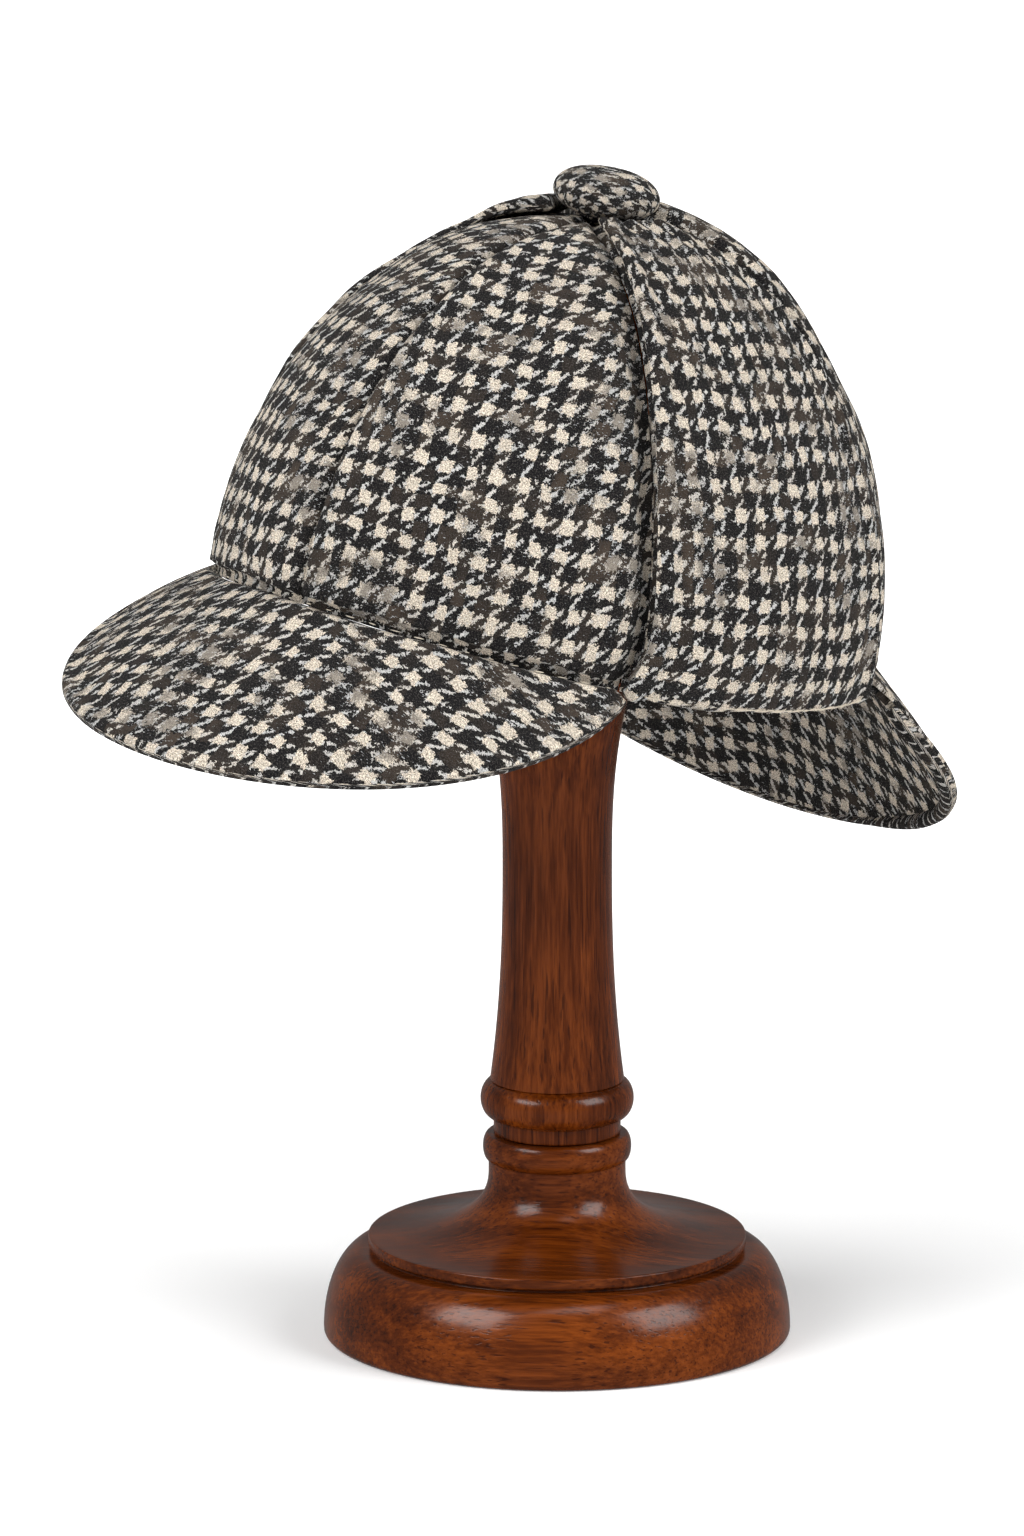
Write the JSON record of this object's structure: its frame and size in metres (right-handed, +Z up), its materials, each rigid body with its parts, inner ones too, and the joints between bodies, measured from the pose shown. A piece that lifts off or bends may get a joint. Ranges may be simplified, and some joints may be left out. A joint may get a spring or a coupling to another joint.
{
  "type": "deerstalker hat on a turned wood stand",
  "caption": "Tweed deerstalker hat, ear flaps folded up under the top button, peaks front and back, resting on a turned wood stand with a round foot.",
  "frame": {"origin": "centre of the stand's foot, on the surface that the stand rests on", "axes": "+Z up, -Y towards the front of the hat, +X towards the wearer's left"},
  "size_m": [0.1869, 0.2722, 0.3351],
  "materials": {
    "tweed": "woollen tweed in a black and cream houndstooth check with brown and grey flecks",
    "mahogany": "reddish brown mahogany, turned, satin lacquer"
  },
  "bodies": {
    "root": {"crown_panel_front_left": "tweed", "crown_panel_side_left": "tweed", "crown_panel_back_left": "tweed", "crown_panel_front_right": "tweed", "crown_panel_side_right": "tweed", "crown_panel_back_right": "tweed", "front_peak": "tweed", "rear_peak": "tweed", "ear_flap_left": "tweed", "ear_flap_right": "tweed", "crown_button": "tweed", "stand_base": "mahogany", "stand_column": "mahogany", "stand_head": "mahogany"}
  },
  "joints": []
}
